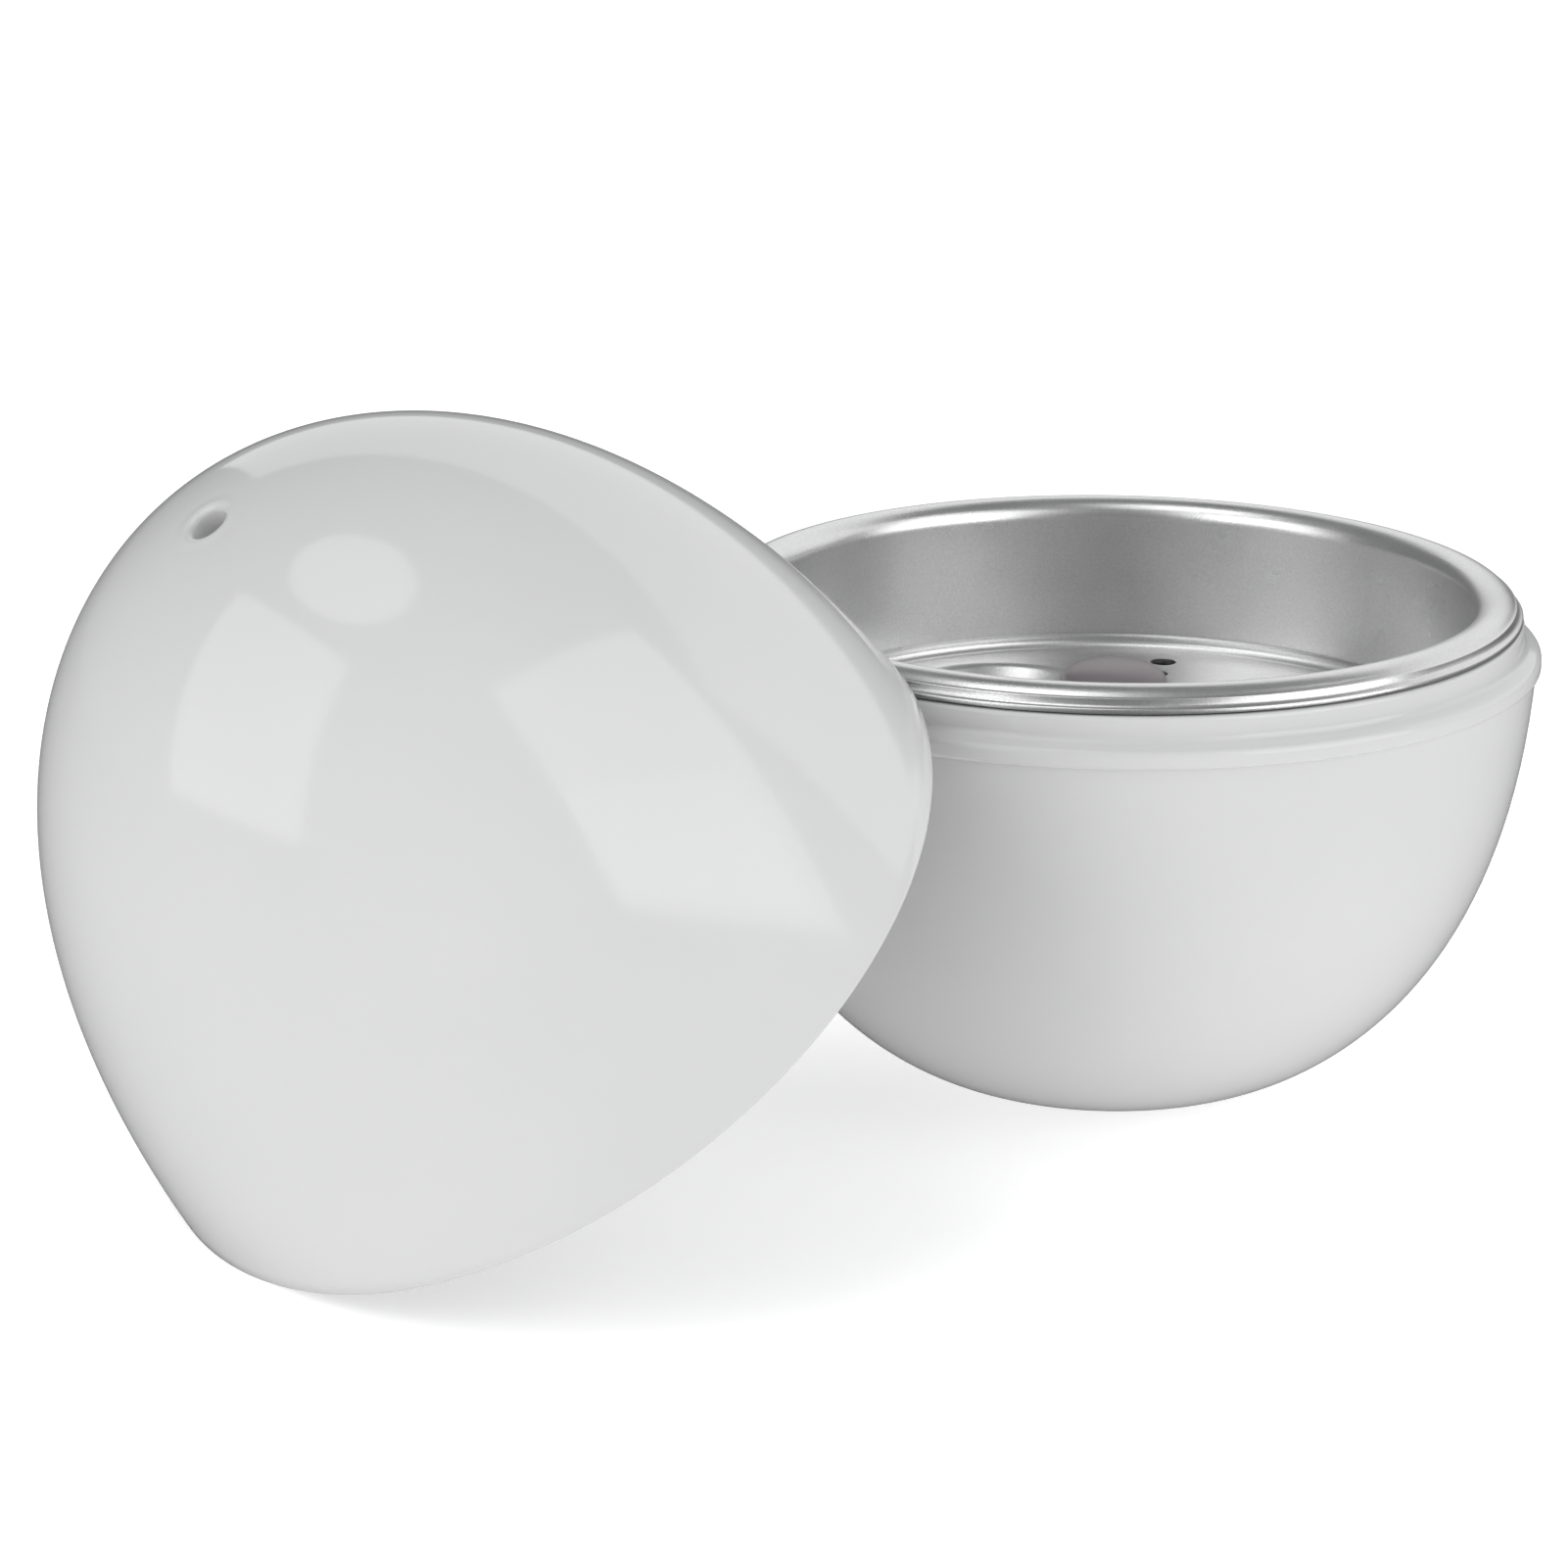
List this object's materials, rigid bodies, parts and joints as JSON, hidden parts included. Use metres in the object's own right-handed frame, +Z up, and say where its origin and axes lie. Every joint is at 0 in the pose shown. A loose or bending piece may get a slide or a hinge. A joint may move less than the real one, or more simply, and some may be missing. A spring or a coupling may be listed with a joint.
{
  "type": "egg cooker",
  "caption": "Egg-shaped microwave egg cooker: white bowl with aluminium water pot and lift-out egg tray, and a vented aluminium-lined lid leaning on its rim.",
  "frame": {"origin": "middle of the bowl's flat foot, on the table", "axes": "+Z up along the bowl's axis; +X to the right and +Y to the back as the user faces it; the lid leans at the front left, towards -X and -Y"},
  "size_m": [0.2381, 0.212, 0.1289],
  "materials": {
    "white_shell": "glossy moulded polypropylene",
    "pot_metal": "satin, spun",
    "tray_metal": "satin, pressed",
    "liner_metal": "satin, spun",
    "knob_plastic": "satin moulded",
    "screw_steel": "bright"
  },
  "bodies": {
    "bowl": {"bowl_shell": "white_shell", "inner_pot": "pot_metal"},
    "tray": {"egg_tray": "tray_metal", "tray_knob": "knob_plastic", "knob_screw": "screw_steel"},
    "lid": {"lid_shell": "white_shell", "lid_liner": "liner_metal"}
  },
  "joints": [
    {"name": "tray_lift", "type": "slide", "parent": "bowl", "child": "tray", "axis": [0, 0, 1], "range_m": [0, 0.05]},
    {"name": "lid_swing", "type": "hinge", "parent": "bowl", "child": "lid", "pos_m": [0.08879, 0.04616, -0.0717], "axis": [-0.5621, 0.8254, -0.0533], "range_deg": [0, 37.83]}
  ]
}
